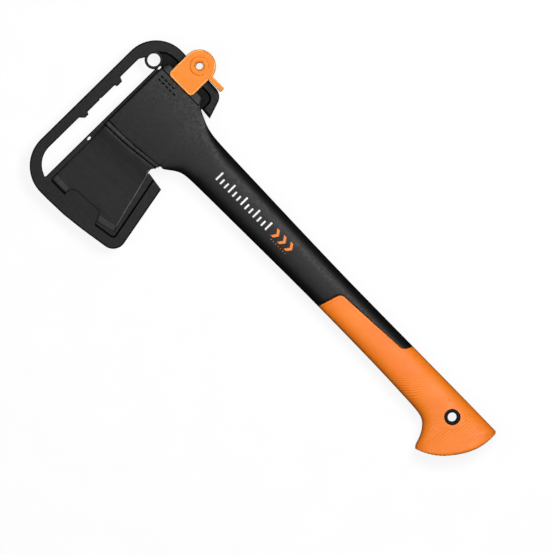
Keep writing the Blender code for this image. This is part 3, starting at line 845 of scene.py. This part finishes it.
def poll_ring(y, rounding):
    share = (y - POLL_Y[0]) / (POLL_Y[1] - POLL_Y[0])
    x_range = [a + (b - a) * share for a, b in zip(POLL_X, POLL_FACE_X)]
    x_range = (x_range[0] + rounding, x_range[1] - rounding)
    return head_ring(x_range, lambda x: y, POLL_HALF - rounding, power=POLL_SQUARENESS)


def region(name, corners):
    return through(name, rounded(corners))


def shifted(corners, dx, dy):
    return [(x + dx, y + dy, radius) for x, y, radius in corners]


def core_grid(x_values, inset, sides=20):
    return surface([station(x, inset, CORE_STRAIGHT_X) for x in x_values], sides)


def core_x():
    return [CORE_START_X, *spread(0.2500, CORE_END_X, 0.0142)]


def build_shaft(material):
    stations = top_end_stations()
    for first, last, step in SHAFT_STATIONS:
        stations += [station(x) for x in spread(first, last, step)]
    shaft = skin("shaft_body", surface(stations, 64))
    bare_side = [(-0.0200, -0.0600, 0.0), *shifted(PARTING, -TOUCH, TOUCH), (-0.0200, 0.0400, 0.0)]
    combine(shaft, "INTERSECT", region("bare_region", bare_side))
    combine(shaft, "UNION", skin("core", core_grid(core_x(), GRIP_WALL)))
    passage_x = (NECK_X[0] - GAP, NECK_X[1] + GAP)
    passage = [head_ring(passage_x, lambda x, y=y: y, NECK_HALF + GAP, 16) for y in (-0.0450, 0.0400)]
    combine(shaft, "DIFFERENCE", skin("neck_passage", np.array(passage)))
    hollow_x = [0.0860, *spread(0.1100, 0.2300, 0.0240)]
    wide = surface([station(x, SHAFT_WALL) for x in hollow_x], 20)
    narrow = core_grid(spread(0.2500, CORE_END_X + 0.0100, 0.0190), GRIP_WALL + SHAFT_WALL)
    combine(shaft, "DIFFERENCE", skin("hollow", np.concatenate((wide, narrow))))
    settle(shaft)
    ease_parting(shaft)
    finish_piece(shaft, ROOT_BODY, material, sharp=38, weighted=False)
    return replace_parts(shaft, "handle_shaft")


def build_grip(material):
    stations = [station(x) for x in spread(GRIP_START_X, KNOB_START_X, 0.0005)]
    stations += knob_stations(150) + butt_stations(16)
    grid = surface(stations, 56)
    grid -= outward_normals(grid) * rib_relief(grid)[..., None] * outward_sign(grid)
    grip = skin("grip_cover", grid)
    grip_side = [*PARTING, (0.4700, 0.0400, 0.0), (0.4700, -0.0600, 0.0)]
    combine(grip, "INTERSECT", region("grip_region", shifted(grip_side, TOUCH, -TOUCH)))
    room = core_grid([*core_x(), PLUG_END_X + GAP], GRIP_WALL - GAP)
    combine(grip, "DIFFERENCE", skin("core_room", room))
    hole = circle(HANG_HOLE, HANG_BOSS_RADIUS + 0.0001)
    combine(grip, "DIFFERENCE", through("boss_room", hole))
    settle(grip)
    ease_parting(grip)
    finish_piece(grip, ROOT_BODY, material, sharp=50, weighted=False)
    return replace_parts(grip, "grip")


def outward_sign(grid):
    """+1 where the grid's own normals point out of the handle, -1 where they point in."""
    normals = outward_normals(grid)
    top = normals[len(grid) // 3, grid.shape[1] // 4]
    return 1.0 if top[2] > 0 else -1.0


def build_plug(material):
    shoulder_x = CORE_END_X + GAP
    spigot = GRIP_WALL + SHAFT_WALL + GAP
    grid = np.concatenate((
        core_grid([0.3720, shoulder_x], spigot),
        core_grid([shoulder_x, PLUG_END_X - PLUG_CHAMFER], GRIP_WALL),
        core_grid([PLUG_END_X], GRIP_WALL + PLUG_CHAMFER),
    ))
    plug = skin("butt_plug_ring", grid)
    boss = layered("boss", circle(HANG_HOLE, HANG_BOSS_RADIUS), eased(HANG_BOSS_HALF, 0.0009))
    combine(plug, "UNION", boss)
    bore = layered("hang_bore", circle(HANG_HOLE, HANG_BORE), flared(HANG_BOSS_HALF, 0.0013))
    combine(plug, "DIFFERENCE", bore)
    settle(plug)
    finish_piece(plug, ROOT_BODY, material)
    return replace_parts(plug, "handle_end_plug")


def build_sheath(material, recess_painted_shade, wall_painted_shade):
    sheath = layered("sheath_body", rounded(SHEATH_OUTLINE), eased(RIM_HALF, 0.0016, groove=0.00012))
    bay_levels = tapered(WEB_HALF - 0.0004, RIM_HALF, *BAY_WALL)
    combine(sheath, "DIFFERENCE", layered("bay", rounded(BAY_OUTLINE), bay_levels))
    web = outset(rounded(SHEATH_OUTLINE), -0.0010)
    combine(sheath, "UNION", layered("web", web, [(-WEB_HALF, 0.0), (WEB_HALF, 0.0)]))
    combine(sheath, "UNION", layered("edge_pads", rounded(PAD_OUTLINE), eased(RIM_HALF, 0.0007)))
    opening = layered("opening", rounded(OPENING_OUTLINE), flared(RIM_HALF, 0.0010))
    combine(sheath, "DIFFERENCE", opening)
    ring = layered("ring", circle(RING_CENTRE, RING_RADIUS), eased(RING_HALF, 0.0008))
    combine(sheath, "UNION", ring)
    hub = layered("hub", circle(PIVOT, HUB_RADIUS), eased(HUB_HALF, 0.0006))
    combine(sheath, "UNION", hub)
    seat = outset(rounded(SEAT_OUTLINE), -SEAT_LAP)
    combine(sheath, "DIFFERENCE", through("seat", seat))
    combine(sheath, "DIFFERENCE", build_blade_slot())
    ring_bore = layered("ring_bore", circle(RING_CENTRE, RING_BORE), flared(RING_HALF, 0.0007))
    combine(sheath, "DIFFERENCE", ring_bore)
    combine(sheath, "DIFFERENCE", through("hub_bore", circle(PIVOT, SLEEVE_RADIUS + GAP)))
    hook_end = layered("hook_end", rounded(HOOK_END_OUTLINE), sloped(RIM_HALF, 0.0008, 0.0024))
    combine(sheath, "DIFFERENCE", hook_end)
    for name, centre, half_width in RAIL_HOLES:
        oval = circle(centre, RAIL_HOLE_HALF_LENGTH, 32, half_width / RAIL_HOLE_HALF_LENGTH)
        combine(sheath, "DIFFERENCE", through(name, oval))
    settle(sheath)
    # The rail, the web round the poll and the walls between rim and web take darker blacks: painted shade.
    set_materials(sheath, material, recess_painted_shade, wall_painted_shade)
    for polygon in sheath.data.polygons:
        polygon.material_index = sheath_shade(polygon)
    finish_piece(sheath, ROOT_BODY, material)
    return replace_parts(sheath, "sheath_frame")


def sheath_shade(polygon):
    """2 for the walls between rim and web, which get a darker black as painted shade, 1 for the rail and the
    web round the poll, which get a slightly darker, duller black as painted shade, 0 for the rest.
    """
    x, y, z = polygon.center
    if WEB_HALF < abs(z) < RIM_HALF - 0.0002 and abs(polygon.normal.z) < 0.95 and x > -0.0020:
        return 2
    on_rail = RAIL_X - 0.0010 < x < BLADE_TOP_X and -0.1080 < y < 0.0300
    on_web = abs(z) < WEB_HALF + 0.0002 and y > 0.0300 and -0.0090 < x < 0.0540
    return 1 if on_rail or on_web else 0


def build_blade_slot(clearance=0.0004):
    rings = []
    for share in (0.0, 0.100, 0.300, 0.500):
        half = straight_through(BLADE_HALF, share) + clearance
        x_range = (BLADE_TOP_X - clearance, curve_through(BLADE_HEEL, share) - HEEL_LAP)
        drop = clearance * (1 - share)

        def slot_y(x, share=share, drop=drop):
            return blade_y(x, share) - drop

        rings.append(head_ring(x_range, slot_y, half, 24, BLADE_SQUARENESS))
    return skin("blade_slot", np.array(rings))


def lever_outline():
    """Bar between the cheek plates, a little inside the ribs above and below it."""
    start, end = LEVER_X[0], LEVER_X[1] - LEVER_INSET
    low, high = LEVER_Y[0] + LEVER_INSET, LEVER_Y[1] - LEVER_INSET
    return rounded([(start, low, 0.0), (end, low, 0.0012), (end, high, 0.0012), (start, high, 0.0)])


def rib_outline():
    """Raised rib from the boss to the lever, wider where it leaves the boss."""
    low, high, end = *LEVER_Y, LEVER_X[1]
    return rounded([
        (0.0040, low, 0.0), (end, low, 0.0012), (end, high, 0.0012), (0.0145, high, 0.0060),
        (0.0052, 0.0058, 0.0),
    ])


def build_lock(material, highlight_material):
    side = LOCK_RADIUS
    round_end = side * 0.99
    plan = [
        (-side, LOCK_END_Y, LOCK_CORNER), (side, LOCK_END_Y, LOCK_CORNER), (side, side, round_end),
        (-side, side, round_end),
    ]
    lock = layered("lock_body", rounded(plan), eased(PLATE_OUTER, 0.0014))
    middle = (0.0, 0.0)
    groove = circle(middle, LOCK_BOSS_RADIUS + BOSS_GROOVE_WIDTH)
    for side_of in (1.0, -1.0):
        levels = [(side_of * (PLATE_OUTER - BOSS_GROOVE_DEPTH), 0.0), (side_of * THROUGH, 0.0)]
        combine(lock, "DIFFERENCE", layered(f"groove_{side_of:+.0f}", groove, sorted(levels)))
    combine(lock, "UNION", layered("boss", circle(middle, LOCK_BOSS_RADIUS), eased(LOCK_HALF, 0.0010)))
    rib = layered("rib", rib_outline(), eased(LOCK_HALF, 0.0006))
    combine(lock, "UNION", rib)
    room = [(x * 2, y * 2, 0.0) for x, y, _ in plan]
    combine(lock, "DIFFERENCE", layered("room", rounded(room), [(-PLATE_INNER, 0.0), (PLATE_INNER, 0.0)]))
    lever = layered("lever", lever_outline(), eased(LOCK_HALF - 0.0002, 0.0007))
    combine(lock, "UNION", lever)
    bore = layered("lock_bore", circle(middle, SLEEVE_RADIUS + 0.0001), flared(LOCK_HALF, 0.0007))
    combine(lock, "DIFFERENCE", bore)
    settle(lock)
    set_materials(lock, material, highlight_material)
    # Rounded border faces of the plates take a paler, glossier orange: a painted highlight.
    for polygon in lock.data.polygons:
        x, y, z = polygon.center
        clear_of_boss = math.hypot(x, y) > LOCK_BOSS_RADIUS + 0.0020
        on_highlight_border = abs(z) > PLATE_OUTER - HIGHLIGHT_BORDER_DEPTH and clear_of_boss and y < HIGHLIGHT_BORDER_END_Y
        polygon.material_index = 1 if on_highlight_border and 0.5 < abs(polygon.normal.z) < 0.995 else 0
    finish_piece(lock, LOCK_BODY, material, PIVOT_ROW)
    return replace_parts(lock, "sheath_lock")


def build_sleeve(material):
    sleeve = layered("pivot_sleeve", circle((0.0, 0.0), SLEEVE_RADIUS), eased(SLEEVE_HALF, 0.0003))
    bore = layered("sleeve_bore", circle((0.0, 0.0), SLEEVE_BORE), flared(SLEEVE_HALF, 0.0005))
    combine(sleeve, "DIFFERENCE", bore)
    settle(sleeve)
    finish_piece(sleeve, ROOT_BODY, material, PIVOT_ROW)
    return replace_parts(sleeve, "lock_pivot_sleeve")


# Generic marks.

def surface_height(x, y):
    """Height of the handle's upper surface over a plan point."""
    low, high, half, power, _ = station(x)
    width = high[1] - low[1]
    return float(profile(x, np.array((y - low[1]) / width), width, half, power))


def draped_marks(name, outlines, material, raised=0.00006, sunk=0.0003, step=0.0008):
    """Thin solids of ink or plastic that follow the handle's surface."""
    bm = bmesh.new()
    for outline in outlines:
        part = bmesh.new()
        part.faces.new([part.verts.new((p.x, p.y, 0.0)) for p in outline])
        low_x, high_x = min(p.x for p in outline), max(p.x for p in outline)
        low_y, high_y = min(p.y for p in outline), max(p.y for p in outline)
        for axis, low, high in ((0, low_x, high_x), (1, low_y, high_y)):
            for k in range(1, int((high - low) / step) + 1):
                point = [0.0, 0.0, 0.0]
                point[axis] = low + k * step
                normal = [0.0, 0.0, 0.0]
                normal[axis] = 1.0
                geometry = [*part.verts, *part.edges, *part.faces]
                bmesh.ops.bisect_plane(part, geom=geometry, plane_co=point, plane_no=normal)
        mesh = bpy.data.meshes.new("part")
        part.to_mesh(mesh)
        part.free()
        bm.from_mesh(mesh)
        bpy.data.meshes.remove(mesh)
    lower = list(bm.faces)
    for vert in bm.verts:
        vert.co.z = surface_height(vert.co.x, vert.co.y) - sunk
    added = bmesh.ops.extrude_face_region(bm, geom=lower)["geom"]
    for item in added:
        if isinstance(item, bmesh.types.BMVert):
            item.co.z += sunk + raised
    obj = mesh_object(name, bm)
    return finish_piece(obj, ROOT_BODY, material, sharp=40, weighted=False)


def bar(x0, x1, y0, y1, radius=0.0004):
    return rounded([(x0, y0, radius), (x1, y0, radius), (x1, y1, radius), (x0, y1, radius)])


def build_marks(white, orange, black):
    """A plain tick scale, three chevrons over a row of dots, and two rows of raised dashes."""
    ticks = []
    for k in range(TICK_COUNT):
        x = TICK_X + TICK_PITCH * k
        height = LONG_TICK if k % 3 == 0 else SHORT_TICK
        ticks.append(bar(x, x + TICK_WIDTH, TICK_Y, TICK_Y + height))
    draped_marks("printed_scale", ticks, white)
    chevrons = []
    for k in range(CHEVRON_COUNT):
        corner = Vector((CHEVRON_X + CHEVRON_PITCH * k, CHEVRON_Y))
        chevrons.append([corner + Vector(point) for point in CHEVRON_OUTLINE])
    draped_marks("printed_chevrons", chevrons, orange)
    dots = [circle((DOT_X + DOT_PITCH * k, DOT_Y), DOT_RADIUS, 12) for k in range(DOT_COUNT)]
    draped_marks("printed_dots", dots, orange)
    dashes = []
    for y, count in DASH_ROWS:
        for k in range(count):
            x = DASH_X + DASH_PITCH * k
            dashes.append(bar(x, x + DASH_SIZE[0], y, y + DASH_SIZE[1]))
    draped_marks("moulded_dashes", dashes, black, 0.00005)


# Studio.

def build_floor():
    """Pale table top of lit acrylic, which keeps shadows light."""
    bm = bmesh.new()
    bmesh.ops.create_grid(bm, x_segments=8, y_segments=8, size=4.0)
    floor = mesh_object("floor", bm)
    nodes = Nodes("floor_acrylic")
    grain = nodes.ranged(nodes.noise(30.0, 4.0), 0.0, 1.0)
    nodes.link(nodes.mixed(grain, grey(0.105), grey(0.115)), nodes.shader.inputs["Base Color"])
    nodes.set(Roughness=0.9, Specular_IOR_Level=0.0)
    nodes.set(Emission_Color=(1.0, 1.0, 1.0, 1.0), Emission_Strength=0.885)
    floor.data.materials.append(nodes.material)
    floor.visible_glossy = False
    floor.visible_diffuse = False


def add_softbox(name, direction, distance, size, power):
    light = bpy.data.lights.new(name, "AREA")
    light.shape = "DISK"
    light.size = size
    light.energy = power
    obj = bpy.data.objects.new(name, light)
    bpy.context.scene.collection.objects.link(obj)
    away = Vector(direction).normalized()
    obj.location = away * distance
    obj.rotation_euler = away.to_track_quat("Z", "Y").to_euler()


def build_world(above, below, seen):
    """Even light from all round, a little weaker from below the horizon, and a white backdrop."""
    world = bpy.data.worlds.new("studio")
    world.use_nodes = True
    tree = world.node_tree
    background = tree.nodes["Background"]
    direction = tree.nodes.new("ShaderNodeTexCoord")
    height = tree.nodes.new("ShaderNodeSeparateXYZ")
    tree.links.new(direction.outputs["Generated"], height.inputs["Vector"])
    horizon = tree.nodes.new("ShaderNodeMapRange")
    horizon.inputs["From Min"].default_value = -0.05
    horizon.inputs["From Max"].default_value = 0.15
    horizon.inputs["To Min"].default_value = below
    horizon.inputs["To Max"].default_value = above
    tree.links.new(height.outputs["Z"], horizon.inputs["Value"])
    path = tree.nodes.new("ShaderNodeLightPath")
    choice = tree.nodes.new("ShaderNodeMix")
    choice.inputs["B"].default_value = seen
    tree.links.new(path.outputs["Is Camera Ray"], choice.inputs["Factor"])
    tree.links.new(horizon.outputs["Result"], choice.inputs["A"])
    tree.links.new(choice.outputs["Result"], background.inputs["Strength"])
    bpy.context.scene.world = world


def build_light():
    build_world(0.30, 0.28, 0.97)
    add_softbox("key", (0.0, 0.38, 1.0), 1.6, 0.66, 21.5)
    add_softbox("fill", (-0.1, -0.30, 1.0), 2.4, 1.6, 18.5)


def build_camera(distance=10.0, view_width=0.4955, sensor=36.0, turn=45.5):
    camera = bpy.data.cameras.new("camera")
    camera.sensor_width = sensor
    camera.lens = sensor * distance / view_width
    camera.clip_end = 100.0
    obj = bpy.data.objects.new("camera", camera)
    obj.location = (0.0, 0.0002, MIDDLE_Z + distance)
    obj.rotation_euler = (0.0, 0.0, math.radians(turn))
    bpy.context.scene.collection.objects.link(obj)
    bpy.context.scene.camera = obj
    bpy.context.scene.view_settings.view_transform = "Standard"


def main():
    black = moulded_black("sheath_black", grey(0.0045), grey(0.0085), 0.48, 1900.0, 0.15)
    # Painted shade: a slightly darker, duller black for the rail and the web round the poll.
    rail_web_painted_shade_black = moulded_black("sheath_recess_painted_shade", grey(0.004), grey(0.008), 0.65, 1900.0, 0.10)
    # Painted shade: a darker, duller black for the walls between rim and web.
    wall_painted_shade_black = moulded_black("sheath_wall_painted_shade", grey(0.0022), grey(0.0042), 0.70, 1900.0, 0.06)
    shaft_black = moulded_black("shaft_black", grey(0.0034), grey(0.0066), 0.45, 2300.0, 0.19)
    plug_black = moulded_black("plug_black", grey(0.003), grey(0.005), 0.55, 2300.0, 0.12)
    grip_orange = soft_orange(
        "grip_orange", (0.92, 0.222, 0.011), (0.86, 0.189, 0.009), (0.95, 0.42, 0.16), 0.50, 1700.0,
        specular=0.33, sheen=0.03,
    )
    lock_orange = soft_orange(
        "lock_orange", (0.89, 0.243, 0.006), (0.84, 0.220, 0.005), (0.97, 0.50, 0.22), 0.42, 2100.0, 0.21
    )
    # Painted highlight: a paler, glossier orange for the rounded border of the lock's plates.
    lock_painted_highlight = soft_orange(
        "lock_orange_painted_highlight", (0.96, 0.47, 0.150), (0.93, 0.43, 0.120), (0.97, 0.50, 0.22), 0.36, 2100.0, 0.40
    )
    sleeve_orange = soft_orange(
        "sleeve_orange", (0.80, 0.215, 0.022), (0.74, 0.185, 0.018), (0.9, 0.4, 0.15), 0.42, 2100.0
    )
    white_ink = printed_ink("white_ink", (0.86, 0.86, 0.85), (0.62, 0.62, 0.61))
    orange_ink = printed_ink("orange_ink", (0.90, 0.24, 0.02), (0.70, 0.17, 0.015))
    black_ink = printed_ink("black_ink", grey(0.0012), grey(0.0030), 0.03)
    # Painted highlight: a light dull grey, in the ground-steel look, for the strip along the blade's heel
    # edge.
    rubbed = ground_steel("heel_painted_highlight", (0.074, 0.073, 0.072), (0.050, 0.049, 0.048), 0.0)
    # Painted highlight: a lighter copy of the coating for the poll and the strip along the seam.
    poll = coated_steel("coated_steel_painted_highlight", (0.015, 0.0148, 0.0146), (0.023, 0.0226, 0.022))
    build_head(coated_steel("coated_steel"), ground_steel("ground_steel"), rubbed, poll)
    build_shaft(shaft_black)
    build_grip(grip_orange)
    build_plug(plug_black)
    build_sheath(black, rail_web_painted_shade_black, wall_painted_shade_black)
    build_lock(lock_orange, lock_painted_highlight)
    build_sleeve(sleeve_orange)
    build_marks(white_ink, orange_ink, black_ink)
    build_floor()
    build_light()
    build_camera()


main()
